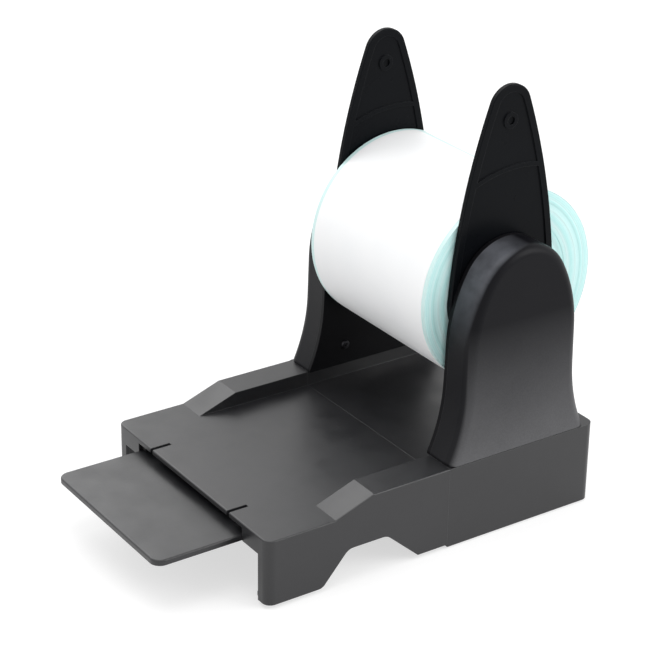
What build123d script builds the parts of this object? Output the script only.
from build123d import *
import math
import os

# Label roll holder.
# A low base carries two pillars that face each other across its width.
# Each pillar holds a tall guide arm, and a hub on each arm enters one end of the roll's core.
# The pillars slide apart together on rods inside the base, linked by two racks and a pinion,
# and a spring draws them back against the roll.
# A flat plate slides out under the front of the deck.
# X runs across the holder, Y from front to rear and Z up.
# Shapes are drawn with the middle of the pillars at Y = 0 and the floor at Z = 0.
# The last step moves them so that the origin is the middle of the footprint.

# Roll
roll_width = 107.0
roll_diameter = 112.0
roll_edge = 0.4
core_bore = 25.4
core_wall = 2.3
roll_axis_height = 133.5
roll_offset = 6.8

# Base
base_front = 162.0
base_rear = 53.5
seam_reach = 46.5
deck_height = 40.4
rail_height = 48.8
ramp_start = 119.7
ramp_end = 95.9
base_wall = 2.2
deck_thickness = 2.6
base_corner_radius = 5.0
base_edge_radius = 0.8
foot_gap = 0.8
tray_lift = 1.5
apron_height = 10.4

# Cut-out in each side wall of the tray
arch_height = 20.8
arch_bottom_front = 127.8
arch_top_front = 111.6
arch_top_rear = 86.9
arch_bottom_rear = 66.2
arch_radius = 7.0
arch_foot_radius = 5.0

# Front legs and what stiffens the tray
leg_return = 9.0
leg_floor_thickness = 2.4
leg_floor_width = 13.0
gusset_thickness = 1.8
gusset_count = 3

# Extension plate
plate_width = 108.0
plate_thickness = 3.2
plate_drop = 4.4
plate_reach = 51.1
plate_travel = 50.0
plate_end_gap = 5.0
plate_corner_radius = 6.0
plate_edge_radius = 1.0
plate_clearance = 0.3
runner_wall = 2.0
runner_lip = 4.0
latch_width = 80.0
latch_length = 12.0
latch_slit = 2.4

# Guide arms
roll_side_gap = 0.4
arm_thickness = 3.4
arm_web = 1.8
arm_rim = 4.2
arm_half_width = 34.7
arm_reach = 137.3
arm_flank_bulge = 6.5
arm_tip_radius = 13.0
arm_edge = 0.5
arm_boss_diameter = 44.0
arm_eye_rise = 96.5
arm_eye_diameter = 9.0
arm_eye_hole = 4.6
arm_rib_radius = 69.0
arm_rib_width = 2.4
peg_radius = 2.0
peg_half_spacing = 14.0
peg_drop = 8.0

# Pillars
pillar_overhang = 2.2
pillar_wall = 2.6
pillar_half_width = 36.7
pillar_spring_height = 113.2
pillar_tip_height = 180.0
pillar_tip_radius = 30.0
pillar_neck_half_width = 37.3
pillar_neck_height = 90.0
pillar_foot_half_width = 46.5
pillar_foot_band = 1.6
pillar_edge_radius = 5.5
pillar_screw_half_spacing = 22.0
slide_gap = 0.3

# Hubs
hub_engagement = 5.5
hub_clearance = 0.35
hub_nose = 2.0
hub_wall = 3.0
hub_flange_diameter = 34.0
hub_flange_thickness = 1.6
hub_slot_count = 6
hub_slot_width = 3.0
hub_slot_end = 1.0

# Carriages and rods
guide_travel = 6.0
carriage_gap = 1.0
carriage_end_gap = 1.0
carriage_thickness = 6.5
carriage_half_width = 38.0
carriage_bottom = 10.0
carriage_head_gap = 0.6
carriage_window_inset = 8.0
carriage_top_bar = 5.0
neck_thickness = 4.4
neck_half_width = 30.0
neck_inset = 1.2
neck_height = 20.0
neck_window_inset = 14.0
neck_window_rise = 4.0
rod_diameter = 6.0
rod_half_spacing = 33.0
rod_height = 22.0
rod_clearance = 0.06
rod_end_gap = 0.6
cradle_setback = 10.0
cradle_thickness = 4.0
cradle_width = 10.0
rod_post_width = 4.8

# Racks and pinion
gear_module = 1.25
pinion_teeth = 18
flank_steps = 4
gear_thickness = 6.0
gear_height = 16.0
gear_backlash = 0.16
pressure_angle = math.radians(20)
rack_body = 5.0
rack_lead = 2.0
rack_flange_thickness = 3.0
rack_flange_rise = 8.0
rack_screw_rise = 4.5
axle_diameter = 6.0
axle_shoulder_diameter = 14.0
axle_clearance = 0.05
axle_end_gap = 0.2
washer_rim = 2.0
washer_thickness = 0.8

# Return spring
spring_diameter = 7.0
spring_wire = 0.9
spring_turns = 14
spring_pitch = 1.9
spring_y = 24.0
spring_height = 22.0
spring_post = 3.2
spring_post_rise = 2.5
spring_shank = 4.0
spring_tab_reach = 9.0
spring_tab_width = 6.0
spring_tab_thickness = 3.0
spring_tab_drop = 2.5

# Bottom cover, feet and fasteners
cover_thickness = 2.4
cover_gap = 0.4
cover_lift = 1.2
cover_corner_radius = 2.0
boss_diameter = 8.0
boss_rod_gap = 1.0
foot_length = 16.0
foot_width = 8.0
foot_thickness = 3.0
foot_side_inset = 6.0
foot_end_inset = 12.0
screw_diameter = 3.0
screw_core_cut = 0.3
screw_head_diameter = 5.6
screw_head_height = 2.0
screw_hole_clearance = 0.2
screw_bite = 6.0
screw_end_gap = 1.0
counterbore = 1.0

# Values that follow from the sizes above
arm_inner_x = roll_width / 2 + roll_side_gap
arm_outer_x = arm_inner_x + arm_thickness
rail_inner_x = arm_outer_x + pillar_overhang
carriage_inner_x = rail_inner_x + base_wall + carriage_gap
carriage_outer_x = carriage_inner_x + carriage_thickness
base_half = carriage_outer_x + guide_travel + carriage_end_gap + base_wall
inner_half = base_half - base_wall
pillar_outer_x = base_half
shell_inner_x = arm_outer_x + pillar_wall
shell_floor_x = pillar_outer_x - pillar_wall
neck_inner_x = carriage_inner_x + neck_inset
neck_outer_x = neck_inner_x + neck_thickness
slot_outer_x = neck_outer_x + guide_travel + slide_gap
cradle_x = carriage_inner_x - cradle_setback
plate_top = deck_height - deck_thickness - plate_drop
plate_bottom = plate_top - plate_thickness
plate_edge = plate_width / 2 + plate_clearance
plate_front = base_front + plate_reach
plate_rear = seam_reach + 2 * base_wall + plate_end_gap + plate_travel
runner_bottom = plate_bottom - plate_clearance - runner_wall
joint_screw_height = runner_bottom + plate_clearance - boss_diameter / 2
tray_bottom = foot_gap + tray_lift
rail_ceiling = rail_height - base_wall
deck_ceiling = deck_height - deck_thickness
pillar_bottom = rail_height + slide_gap
pillar_low_screw_height = pillar_bottom + 0.6 * neck_height
pillar_top_screw_height = roll_axis_height - arm_half_width
rod_radius = rod_diameter / 2
screw_radius = screw_diameter / 2
screw_hole = screw_radius + screw_hole_clearance
head_hole = screw_head_diameter / 2 + screw_hole_clearance
pitch_radius = gear_module * pinion_teeth / 2
dedendum = 1.25 * gear_module
gear_top = gear_height + gear_thickness
cover_bottom = foot_gap + cover_lift
cover_top = cover_bottom + cover_thickness
rear_boss_y = rod_half_spacing - rod_radius - boss_diameter / 2 - boss_rod_gap
front_boss_y = -seam_reach + base_wall + cover_gap + boss_diameter / 2
rack_screw_y = -pitch_radius - dedendum - rack_body / 2
rack_screw_z = gear_top + rack_screw_rise
hub_centre = Pos(0, roll_offset, roll_axis_height)
rear_reach = max(base_rear, roll_offset + roll_diameter / 2)
centre_y = (rear_reach - plate_front) / 2


def block(x0, x1, y0, y1, z0, z1):
    """A box between two corners."""
    return Pos((x0 + x1) / 2, (y0 + y1) / 2, (z0 + z1) / 2) * Box(abs(x1 - x0), abs(y1 - y0), abs(z1 - z0))


def rod_x(radius, x0, x1, y, z):
    """A round bar along X."""
    return Pos((x0 + x1) / 2, y, z) * Rot(0, 90, 0) * Cylinder(radius, abs(x1 - x0))


def rod_y(radius, x, y0, y1, z):
    """A round bar along Y."""
    return Pos(x, (y0 + y1) / 2, z) * Rot(90, 0, 0) * Cylinder(radius, y1 - y0)


def rod_z(radius, x, y, z0, z1):
    """A round bar along Z."""
    return Pos(x, y, (z0 + z1) / 2) * Cylinder(radius, z1 - z0)


def slab(outline, x0, x1):
    """An outline drawn in Y and Z, given a thickness along X."""
    return extrude(Plane.YZ.offset(x0) * outline, x1 - x0)


def both_sides(part):
    """A part and its mirror image across the middle of the holder."""
    return part + mirror(part, about=Plane.YZ)


def polygon(points):
    return make_face(Polyline(*points, close=True))


def screw_x(head_x, tip_x, y, z):
    """A pan-head screw along X, its head's underside at head_x."""
    outward = math.copysign(screw_head_height, head_x - tip_x)
    head = rod_x(screw_head_diameter / 2, head_x, head_x + outward, y, z)
    return head + rod_x(screw_radius, head_x, tip_x, y, z)


def screw_up(x, y, head_z, tip_z):
    """A screw that goes in from below, its head's upper side at head_z."""
    head = rod_z(screw_head_diameter / 2, x, y, head_z - screw_head_height, head_z)
    return head + rod_z(screw_radius, x, y, head_z, tip_z)


def foot_pad(x, y, turn=0):
    """A soft pad with rounded ends that stands proud of the face it is stuck to."""
    return extrude(Pos(x, y, 0) * Rot(0, 0, turn) * SlotOverall(foot_length, foot_width), foot_thickness)


# Outlines
def rail_outline(y_front, y_rear, bottom, drop=0.0):
    """Side view of a rail with its ramp, lowered by drop for the hollow inside."""
    return polygon([
        (y_front, bottom),
        (y_front, deck_height - drop),
        (-ramp_start + drop, deck_height - drop),
        (-ramp_end + drop, rail_height - drop),
        (y_rear, rail_height - drop),
        (y_rear, bottom),
    ])


def arch_outline():
    """The cut-out between the tray's front leg and its rear end."""
    front_end = -arch_bottom_front - 2 * arch_foot_radius
    outline = polygon([
        (front_end, 0),
        (front_end, tray_bottom),
        (-arch_bottom_front, tray_bottom),
        (-arch_top_front, arch_height),
        (-arch_top_rear, arch_height),
        (-arch_bottom_rear, tray_bottom),
        (-arch_bottom_rear, 0),
    ])
    outline = fillet(outline.vertices().group_by(Axis.Y)[-1], arch_radius)
    leg_corner = outline.vertices().sort_by_distance((-arch_bottom_front, tray_bottom))[0]
    return fillet(leg_corner, arch_foot_radius)


def pillar_outline():
    """A pointed arch on a shaft that flares out at its foot."""
    foot = Line((-pillar_foot_half_width, pillar_bottom), (pillar_foot_half_width, pillar_bottom))
    outline = make_face(pillar_flank(1) + pillar_flank(-1) + foot)
    tip = outline.vertices().sort_by(Axis.Y)[-1]
    return fillet(tip, pillar_tip_radius)


def pillar_flank(side):
    """One flank of the pillar: foot band, concave flare, shaft and half of the arch."""
    band_top = pillar_bottom + pillar_foot_band
    spring = (side * pillar_half_width, pillar_spring_height)
    neck = (side * pillar_neck_half_width, pillar_neck_height)
    foot = (side * pillar_foot_half_width, band_top)
    shaft = (spring[0] - neck[0], spring[1] - neck[1])
    return (
        Line((foot[0], pillar_bottom), foot)
        + TangentArc(neck, foot, tangent=(-shaft[0], -shaft[1]))
        + Line(neck, spring)
        + TangentArc(spring, (0, pillar_tip_height), tangent=shaft)
    )


def arm_outline():
    """A tall pointed leaf: a half round about the roll's height, and two bowed flanks."""
    outline = Curve()
    tip = (0, roll_axis_height + arm_reach)
    for side in (1, -1):
        outline += bowed_line((side * arm_half_width, roll_axis_height), tip, side * arm_flank_bulge)
    outline += ThreePointArc(
        (-arm_half_width, roll_axis_height),
        (0, roll_axis_height - arm_half_width),
        (arm_half_width, roll_axis_height),
    )
    outline = make_face(outline)
    return fillet(outline.vertices().sort_by(Axis.Y)[-1], arm_tip_radius)


def bowed_line(start, end, bulge):
    """An arc whose middle stands off its chord by the bulge, to the right of the way it runs."""
    dx = end[0] - start[0]
    dy = end[1] - start[1]
    length = math.hypot(dx, dy)
    middle = (
        (start[0] + end[0]) / 2 + bulge * dy / length,
        (start[1] + end[1]) / 2 - bulge * dx / length,
    )
    return ThreePointArc(start, middle, end)


# Base
def front_tray():
    """Deck, ramped rails and skirts of the front half, open underneath."""
    rear = -seam_reach
    body = block(-base_half, base_half, -base_front, rear, tray_bottom, deck_height)
    body += both_sides(slab(rail_outline(-base_front, rear, tray_bottom), rail_inner_x, base_half))
    body = fillet(body.edges().filter_by(Axis.Z).group_by(Axis.Y)[0], base_corner_radius)
    body = fillet(tray_top_edges(body), base_edge_radius)

    hollow = block(-inner_half, inner_half, -base_front + base_wall, rear, 0, deck_ceiling)
    hollow_outline = rail_outline(-base_front + base_wall, rear, 0, base_wall)
    body -= hollow + both_sides(slab(hollow_outline, rail_inner_x + base_wall, inner_half))
    mouth_half = base_half - leg_return
    front_wall = (-base_front, -base_front + base_wall)
    body -= block(-mouth_half, mouth_half, *front_wall, 0, deck_height - apron_height)
    body -= block(-plate_edge, plate_edge, *front_wall, 0, deck_ceiling)

    body += both_sides(leg_floor())
    body += both_sides(plate_runner())
    for i in range(gusset_count):
        y = -seam_reach - (i + 0.5) * (ramp_end - seam_reach) / gusset_count
        body += both_sides(gusset(y))
    body -= both_sides(slab(arch_outline(), inner_half - base_wall, base_half))
    for side in (-1, 1):
        slit_x = side * latch_width / 2
        body -= block(
            slit_x - latch_slit / 2, slit_x + latch_slit / 2,
            -base_front, -base_front + latch_length, deck_ceiling, deck_height,
        )
    for x in tray_screw_places():
        body += tray_lug(x)
    return body


def tray_top_edges(body):
    """The tray's outer edges along its top, from the rear end round the front lip."""
    edges = body.edges().filter_by(lambda e: e.center().Z > deck_height - 0.01)
    edges = edges.filter_by(lambda e: e.center().Y < -seam_reach - 0.01)
    return edges.filter_by(lambda e: abs(e.center().X) > inner_half or e.center().Y < -base_front + base_wall)


def leg_floor():
    """The plate that closes the bottom of a front leg, with a recess for its pad."""
    inner = base_half - leg_floor_width
    plate = block(inner, inner_half, -base_front + base_wall, -arch_bottom_front - base_wall,
                  tray_bottom, tray_bottom + leg_floor_thickness)
    x, y = front_foot_place()
    return plate - foot_pad(x, y, 90)


def front_foot_place():
    return base_half - leg_floor_width + foot_width / 2 + 1.0, -(base_front + arch_bottom_front) / 2


def plate_runner():
    """The channel under the deck that carries one edge of the extension plate."""
    ends = (-base_front + base_wall, -seam_reach - base_wall)
    wall = block(plate_edge, plate_edge + runner_wall, *ends, runner_bottom, deck_ceiling)
    lip = block(plate_edge - runner_lip, plate_edge, *ends, runner_bottom, plate_bottom - plate_clearance)
    pad = block(plate_edge - runner_lip, plate_edge, *ends, plate_top + plate_clearance, deck_ceiling)
    return wall + lip + pad


def gusset(y):
    """A rib that ties the rail, the deck and a plate runner together."""
    sides = (y - gusset_thickness / 2, y + gusset_thickness / 2)
    rib = block(plate_edge + runner_wall, inner_half, *sides, runner_bottom, deck_ceiling)
    return rib + block(rail_inner_x + base_wall, inner_half, *sides, deck_ceiling, rail_ceiling)


def tray_screw_places():
    outer = inner_half - boss_diameter / 2
    return [-outer, -outer / 3, outer / 3, outer]


def tray_lug(x):
    """A lug under the tray's rear edge that takes a screw from the rear housing."""
    rear = -seam_reach
    lug = block(x - boss_diameter / 2, x + boss_diameter / 2, rear - base_wall, rear,
                joint_screw_height - boss_diameter / 2, deck_ceiling)
    return lug - rod_y(screw_radius, x, rear - base_wall, rear, joint_screw_height)


def rear_housing():
    """The box that the pillars stand on, open underneath, with a slot along each rail."""
    front = -seam_reach
    body = block(-base_half, base_half, front, base_rear, foot_gap, deck_height)
    body += both_sides(block(rail_inner_x, base_half, front, base_rear, foot_gap, rail_height))
    outer = body.edges().filter_by(Axis.Z).filter_by(lambda e: abs(e.center().X) > inner_half)
    body = fillet(outer.group_by(Axis.Y)[-1], base_corner_radius)

    inner_front = front + base_wall
    inner_rear = base_rear - base_wall
    body -= block(-inner_half, inner_half, inner_front, inner_rear, 0, deck_ceiling)
    rail_hollow = block(rail_inner_x + base_wall, inner_half, inner_front, inner_rear,
                        deck_ceiling, rail_ceiling)
    slot = block(neck_inner_x - slide_gap, slot_outer_x, -neck_half_width - slide_gap,
                 neck_half_width + slide_gap, rail_ceiling, rail_height)
    body -= both_sides(rail_hollow + slot)

    for x, y in cover_screw_places():
        boss = rod_z(boss_diameter / 2, x, y, cover_top, deck_ceiling)
        body += boss - rod_z(screw_radius, x, y, cover_top, cover_top + screw_bite)
    for side in (-1, 1):
        for y in (-rod_half_spacing, rod_half_spacing):
            body += rod_cradle(side * cradle_x, y)
    for x in tray_screw_places():
        body -= rod_y(screw_hole, x, front, inner_front, joint_screw_height)
    return body


def cover_screw_places():
    inner = cradle_x - boss_diameter
    places = []
    for x in (-inner, inner):
        for y in (front_boss_y, rear_boss_y):
            places.append((x, y))
    return places


def rod_cradle(x, y):
    """A rib under the deck with a slot, open below, that locates a rod."""
    sides = (x - cradle_thickness / 2, x + cradle_thickness / 2)
    bore = rod_radius + rod_clearance
    rib = block(*sides, y - cradle_width / 2, y + cradle_width / 2, rod_height - rod_radius, deck_ceiling)
    mouth = block(*sides, y - bore, y + bore, rod_height - rod_diameter, rod_height)
    return rib - rod_x(bore, *sides, y, rod_height) - mouth


def bottom_cover():
    """The plate that closes the rear housing, with the rod posts and the pinion's axle."""
    half = inner_half - cover_gap
    front = -seam_reach + base_wall + cover_gap
    rear = base_rear - base_wall - cover_gap
    plate = block(-half, half, front, rear, cover_bottom, cover_top)
    plate = fillet(plate.edges().filter_by(Axis.Z), cover_corner_radius)
    for x in (-cradle_x, cradle_x):
        for y in (-rod_half_spacing, rod_half_spacing):
            plate += block(x - cradle_thickness / 2, x + cradle_thickness / 2,
                           y - rod_post_width / 2, y + rod_post_width / 2, cover_top, rod_height - rod_radius)
    shoulder = gear_height - axle_end_gap
    axle_top = gear_top + axle_end_gap
    plate += rod_z(axle_shoulder_diameter / 2, 0, 0, cover_top, shoulder)
    plate += rod_z(axle_diameter / 2, 0, 0, shoulder, axle_top)
    plate -= rod_z(screw_radius - screw_core_cut, 0, 0, gear_height, axle_top)
    plate += rod_z(spring_post / 2, spring_post_x(), -spring_y, cover_top, spring_height + spring_post_rise)
    for x, y in cover_screw_places():
        plate -= rod_z(screw_hole, x, y, cover_bottom, cover_top)
        plate -= rod_z(head_hole, x, y, cover_bottom, cover_bottom + counterbore)
    for x, y in rear_foot_places():
        plate -= foot_pad(x, y)
    return plate


def rear_foot_places():
    x = inner_half - foot_length / 2 - foot_side_inset
    places = []
    for y in (-seam_reach + foot_end_inset, base_rear - foot_end_inset):
        places += [(-x, y), (x, y)]
    return places


# Guides, drawn for the right-hand side
def pillar_screw_places():
    low = [(side * pillar_screw_half_spacing, pillar_low_screw_height) for side in (-1, 1)]
    high = [(side * pillar_screw_half_spacing, pillar_top_screw_height) for side in (-1, 1)]
    return low, high


def pillar_shell():
    """The pillar's outer moulding: a hollow shell with screw bosses, open towards the roll."""
    solid = slab(pillar_outline(), shell_inner_x, pillar_outer_x)
    rim = solid.faces().sort_by(Axis.X)[-1].edges().filter_by(lambda e: e.center().Z > pillar_bottom + 0.1)
    solid = fillet(rim, pillar_edge_radius)
    solid = offset(solid, amount=-pillar_wall, openings=solid.faces().sort_by(Axis.X)[0])
    solid -= block(shell_inner_x, shell_floor_x, -neck_half_width - 1, neck_half_width + 1,
                   pillar_bottom, pillar_bottom + 2 * pillar_wall)
    low, high = pillar_screw_places()
    for places, end in ((low, neck_outer_x), (high, shell_inner_x)):
        for y, z in places:
            solid += rod_x(boss_diameter / 2, end, shell_floor_x, y, z)
            solid -= rod_x(screw_radius, end, shell_floor_x, y, z)
    solid += rod_x(boss_diameter, shell_inner_x, shell_floor_x, roll_offset, roll_axis_height)
    solid -= rod_x(screw_radius, shell_inner_x, shell_floor_x, roll_offset, roll_axis_height)
    return solid


def pillar_cover():
    """The panel that closes the pillar on the side of the roll."""
    panel = slab(pillar_outline(), arm_outer_x, shell_inner_x)
    low, high = pillar_screw_places()
    for y, z in low:
        panel += rod_x(boss_diameter / 2, shell_inner_x, neck_inner_x, y, z)
    for y, z in low + high:
        panel -= rod_x(screw_hole, arm_outer_x, neck_inner_x, y, z)
        panel -= rod_x(head_hole, arm_outer_x, arm_outer_x + counterbore, y, z)
    panel -= rod_x(screw_hole, arm_outer_x, shell_inner_x, roll_offset, roll_axis_height)
    for y, z in arm_pegs_at():
        panel -= rod_x(peg_radius + screw_hole_clearance, arm_outer_x, shell_inner_x, y, z)
    return panel


def arm_pegs_at():
    """The two pegs that stop the arm from turning on its screw."""
    return [(roll_offset + side * peg_half_spacing, roll_axis_height - peg_drop) for side in (-1, 1)]


def guide_arm():
    """The tall guide: a rim all round, a thin web, a boss for the hub and an eye near the tip."""
    outline = arm_outline()
    body = slab(outline, arm_inner_x, arm_outer_x)
    body = chamfer(body.edges().group_by(Axis.X)[0] + body.edges().group_by(Axis.X)[-1], arm_edge)
    eye_height = roll_axis_height + arm_eye_rise
    middle = Pos(roll_offset, roll_axis_height)
    kept = middle * Circle(arm_boss_diameter / 2) + Pos(0, eye_height) * Circle(arm_eye_diameter / 2)
    rib = middle * (Circle(arm_rib_radius + arm_rib_width) - Circle(arm_rib_radius))
    pocket = offset(outline, -arm_rim) - kept - rib
    recess = (arm_thickness - arm_web) / 2
    body -= slab(pocket, arm_inner_x, arm_inner_x + recess)
    body -= slab(pocket, arm_outer_x - recess, arm_outer_x)
    body -= rod_x(arm_eye_hole / 2, arm_inner_x, arm_outer_x, 0, eye_height)
    seat_radius = hub_flange_diameter / 2 + screw_hole_clearance
    body -= rod_x(seat_radius, arm_inner_x, hub_seat_x(), roll_offset, roll_axis_height)
    body -= rod_x(screw_hole, arm_inner_x, arm_outer_x, roll_offset, roll_axis_height)
    for y, z in arm_pegs_at():
        body += rod_x(peg_radius, arm_outer_x, shell_inner_x - screw_hole_clearance, y, z)
    return body


def hub_seat_x():
    """The floor of the recess that a hub's flange sits in."""
    return arm_inner_x + roll_side_gap + hub_flange_thickness


def core_hub():
    """The stepped hub that centres one end of the core, slotted so that its fingers can give."""
    seat_x = hub_seat_x()
    flange_x = seat_x - hub_flange_thickness
    nose_x = roll_width / 2 - hub_engagement
    radius = core_bore / 2 - hub_clearance
    flange_radius = hub_flange_diameter / 2
    profile = polygon([
        (seat_x, 0), (seat_x, flange_radius), (flange_x, flange_radius), (flange_x, radius),
        (nose_x + hub_nose, radius), (nose_x, radius - hub_nose), (nose_x, 0),
    ])
    body = revolve(profile, Axis.X)
    body -= rod_x(radius - hub_wall, nose_x, flange_x, 0, 0)
    for i in range(hub_slot_count):
        slot = block(nose_x, flange_x - hub_slot_end, 0, radius, -hub_slot_width / 2, hub_slot_width / 2)
        body -= Rot(i * 360 / hub_slot_count, 0, 0) * slot
    body -= rod_x(screw_hole, flange_x, seat_x, 0, 0)
    return hub_centre * body


def hub_screw():
    return screw_x(arm_inner_x + roll_side_gap, shell_floor_x - screw_end_gap, roll_offset, roll_axis_height)


def pillar_screws():
    screws = Part()
    low, high = pillar_screw_places()
    for y, z in low + high:
        screws += screw_x(arm_outer_x + counterbore, shell_floor_x - screw_end_gap, y, z)
    return screws


def carriage():
    """The slider inside the base: a plate on two rods, with a neck that rises into the pillar."""
    top = rail_ceiling - carriage_head_gap
    faces = (carriage_inner_x, carriage_outer_x)
    plate = block(*faces, -carriage_half_width, carriage_half_width, carriage_bottom, top)
    window_half = rod_half_spacing - carriage_window_inset
    window_bottom = rack_screw_z + boss_diameter / 2
    plate -= block(*faces, -window_half, window_half, window_bottom, top - carriage_top_bar)
    neck_faces = (neck_inner_x, neck_outer_x)
    neck_top = pillar_bottom + neck_height
    neck = block(*neck_faces, -neck_half_width, neck_half_width, top, neck_top)
    gap_half = neck_half_width - neck_window_inset
    neck -= block(*neck_faces, -gap_half, gap_half, pillar_bottom + neck_window_rise, neck_top)
    plate += neck
    for y in (-rod_half_spacing, rod_half_spacing):
        plate -= rod_x(rod_radius + rod_clearance, *faces, y, rod_height)
    for y in (-rack_screw_y, rack_screw_y):
        plate -= rod_x(screw_radius, *faces, y, rack_screw_z)
    for y, z in pillar_screw_places()[0]:
        plate -= rod_x(screw_hole, *neck_faces, y, z)
    return plate + spring_tab()


def spring_tab():
    """The arm on the carriage that carries the spring's moving post."""
    tab_end = carriage_inner_x - spring_tab_reach
    tab_top = spring_height - spring_tab_drop
    tab = block(tab_end, carriage_inner_x, -spring_y - spring_tab_width / 2, -spring_y + spring_tab_width / 2,
                tab_top - spring_tab_thickness, tab_top)
    return tab + rod_z(spring_post / 2, tab_end + spring_tab_width / 2, -spring_y,
                       tab_top, spring_height + spring_post_rise)


def rack(side):
    """A toothed bar from one carriage to past the pinion, drawn with its teeth towards +Y."""
    pitch = math.pi * gear_module
    half_tooth = pitch / 4 - gear_backlash / 4
    lean = math.tan(pressure_angle)
    start = -(pitch_radius + guide_travel)
    first = math.ceil(start / pitch) + 0.5
    count = int((pitch_radius - start) / pitch)
    points = [(start - rack_lead, -dedendum)]
    for i in range(count):
        centre = (first + i) * pitch
        points += [
            (centre - half_tooth - lean * dedendum, -dedendum),
            (centre - half_tooth + lean * gear_module, gear_module),
            (centre + half_tooth - lean * gear_module, gear_module),
            (centre + half_tooth + lean * dedendum, -dedendum),
        ]
    back = -dedendum - rack_body
    points += [(carriage_inner_x, -dedendum), (carriage_inner_x, back), (start - rack_lead, back)]
    bar = Pos(0, -pitch_radius, gear_height) * extrude(polygon(points), gear_thickness)
    flange_x = carriage_inner_x - rack_flange_thickness
    bar += block(flange_x, carriage_inner_x, back - pitch_radius, -dedendum - pitch_radius,
                 gear_height, gear_top + rack_flange_rise)
    bar -= rod_x(screw_hole, flange_x, carriage_inner_x, rack_screw_y, rack_screw_z)
    if side < 0:
        bar = Rot(0, 0, 180) * bar
    return bar


def rack_screw(side):
    screw = screw_x(carriage_inner_x - rack_flange_thickness, carriage_inner_x + screw_bite,
                    rack_screw_y, rack_screw_z)
    if side < 0:
        screw = Rot(0, 0, 180) * screw
    return screw


# Drive
def pinion():
    """A spur gear with involute flanks, a tooth centred on each rack."""
    base_radius = pitch_radius * math.cos(pressure_angle)
    tip_radius = pitch_radius + gear_module
    half_at_pitch = math.pi / (2 * pinion_teeth) - gear_backlash / (4 * pitch_radius)
    involute = math.tan(pressure_angle) - pressure_angle
    flank = [(pitch_radius - dedendum, half_at_pitch + involute)]
    for i in range(flank_steps + 1):
        r = base_radius + (tip_radius - base_radius) * i / flank_steps
        angle = math.acos(min(1, base_radius / r))
        flank.append((r, half_at_pitch + involute - (math.tan(angle) - angle)))
    points = []
    for k in range(pinion_teeth):
        centre = math.pi / 2 + 2 * math.pi * k / pinion_teeth
        for r, half in flank:
            points.append((r * math.cos(centre - half), r * math.sin(centre - half)))
        for r, half in reversed(flank):
            points.append((r * math.cos(centre + half), r * math.sin(centre + half)))
    wheel = Pos(0, 0, gear_height) * extrude(polygon(points), gear_thickness)
    return wheel - rod_z(axle_diameter / 2 + axle_clearance, 0, 0, gear_height, gear_top)


def pinion_screw():
    """The screw and washer that hold the pinion on its axle."""
    washer_bottom = gear_top + axle_end_gap
    washer_top = washer_bottom + washer_thickness
    screw = rod_z(axle_diameter / 2 + washer_rim, 0, 0, washer_bottom, washer_top)
    screw += rod_z(screw_head_diameter / 2, 0, 0, washer_top, washer_top + screw_head_height)
    return screw + rod_z(screw_radius - screw_core_cut, 0, 0, gear_height + screw_end_gap, washer_bottom)


def guide_rod(side):
    reach = inner_half - rod_end_gap
    return rod_x(rod_radius, -reach, reach, side * rod_half_spacing, rod_height)


def spring_post_x():
    """The fixed post stands where the spring's free length ends."""
    return carriage_inner_x - spring_tab_reach + spring_tab_width / 2 - spring_length()


def spring_length():
    """From post to post: the coil, two straight ends and what the eyes reach past the posts."""
    return spring_turns * spring_pitch + 2 * spring_shank + 2 * (eye_radius() - spring_post / 2)


def eye_radius():
    return (spring_diameter - spring_wire) / 2


def return_spring():
    """An extension spring from a post on the bottom cover to the right-hand carriage.

    Its close-wound coil lies out of sight in the base, so it is a plain tube with flat eyes.
    """
    coil_length = spring_turns * spring_pitch
    wire = spring_wire / 2
    shank_y = eye_radius()
    hole_radius = shank_y - wire
    eye_gap = hole_radius - spring_post / 2 - slide_gap / 3
    left_eye_x = spring_post_x() + eye_gap
    right_eye_x = spring_post_x() + spring_length() - eye_gap
    start_x = (left_eye_x + right_eye_x - coil_length) / 2
    end_x = start_x + coil_length
    spring = rod_x(spring_diameter / 2, start_x, end_x, 0, 0) - rod_x(hole_radius, start_x, end_x, 0, 0)
    for coil_end, eye_x in ((start_x + spring_wire, left_eye_x), (end_x - spring_wire, right_eye_x)):
        spring += block(coil_end, eye_x, shank_y - wire, shank_y + wire, -wire, wire)
        spring += rod_z(shank_y + wire, eye_x, 0, -wire, wire) - rod_z(hole_radius, eye_x, 0, -wire, wire)
    return Pos(0, -spring_y, spring_height) * spring


# Extension plate
def extension_plate():
    """The flat plate that slides out under the deck."""
    sheet = Pos(0, -(plate_front + plate_rear) / 2) * Rectangle(plate_width, plate_front - plate_rear)
    sheet = fillet(sheet.vertices().group_by(Axis.Y)[0], plate_corner_radius)
    plate = Pos(0, 0, plate_bottom) * extrude(sheet, plate_thickness)
    top = plate.faces().sort_by(Axis.Z)[-1].edges()
    return fillet(top.filter_by(lambda e: e.center().Y < -plate_rear - 0.01), plate_edge_radius)


# Roll
def roll_core():
    outer = rod_x(core_bore / 2 + core_wall, -roll_width / 2, roll_width / 2, 0, 0)
    return hub_centre * (outer - rod_x(core_bore / 2, -roll_width / 2, roll_width / 2, 0, 0))


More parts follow.
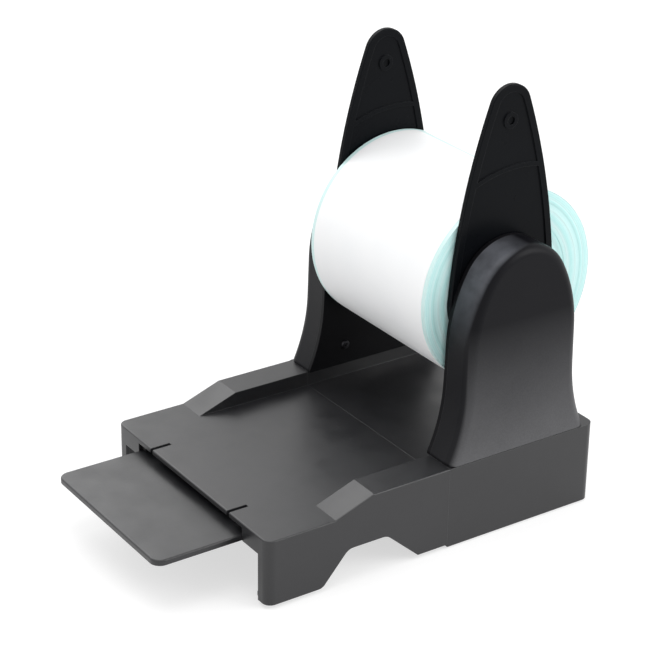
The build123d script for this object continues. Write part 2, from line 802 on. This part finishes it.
def label_roll():
    outer = rod_x(roll_diameter / 2, -roll_width / 2, roll_width / 2, 0, 0)
    outer = chamfer(outer.edges().filter_by(GeomType.CIRCLE), roll_edge)
    return hub_centre * (outer - rod_x(core_bore / 2 + core_wall, -roll_width / 2, roll_width / 2, 0, 0))


# Fasteners of the base
def cover_screws():
    screws = Part()
    for x, y in cover_screw_places():
        screws += screw_up(x, y, cover_bottom + counterbore, cover_top + screw_bite - screw_end_gap)
    return screws


def tray_screws():
    screws = Part()
    inner = -seam_reach + base_wall
    for x in tray_screw_places():
        screws += rod_y(screw_head_diameter / 2, x, inner, inner + screw_head_height, joint_screw_height)
        screws += rod_y(screw_radius, x, -seam_reach - base_wall, inner, joint_screw_height)
    return screws


def front_feet():
    x, y = front_foot_place()
    return both_sides(foot_pad(x, y, 90))


def rear_feet():
    feet = Part()
    for x, y in rear_foot_places():
        feet += foot_pad(x, y)
    return feet


nodes = {
    "front_tray": front_tray(),
    "rear_housing": rear_housing(),
    "bottom_cover": bottom_cover(),
    "cover_screws": cover_screws(),
    "tray_screws": tray_screws(),
    "front_feet": front_feet(),
    "rear_feet": rear_feet(),
    "front_guide_rod": guide_rod(-1),
    "rear_guide_rod": guide_rod(1),
    "pinion": pinion(),
    "pinion_screw": pinion_screw(),
    "return_spring": return_spring(),
    "right_rack": rack(1),
    "left_rack": rack(-1),
    "right_rack_screw": rack_screw(1),
    "left_rack_screw": rack_screw(-1),
    "extension_plate": extension_plate(),
    "roll_core": roll_core(),
    "label_roll": label_roll(),
}
for name, piece in {
    "carriage": carriage(),
    "pillar_shell": pillar_shell(),
    "pillar_cover": pillar_cover(),
    "pillar_screws": pillar_screws(),
    "guide_arm": guide_arm(),
    "core_hub": core_hub(),
    "hub_screw": hub_screw(),
}.items():
    nodes["right_" + name] = piece
    nodes["left_" + name] = mirror(piece, about=Plane.YZ)

os.makedirs("parts", exist_ok=True)
for name, piece in nodes.items():
    export_step(Pos(0, -centre_y, 0) * piece, f"parts/{name}.step")
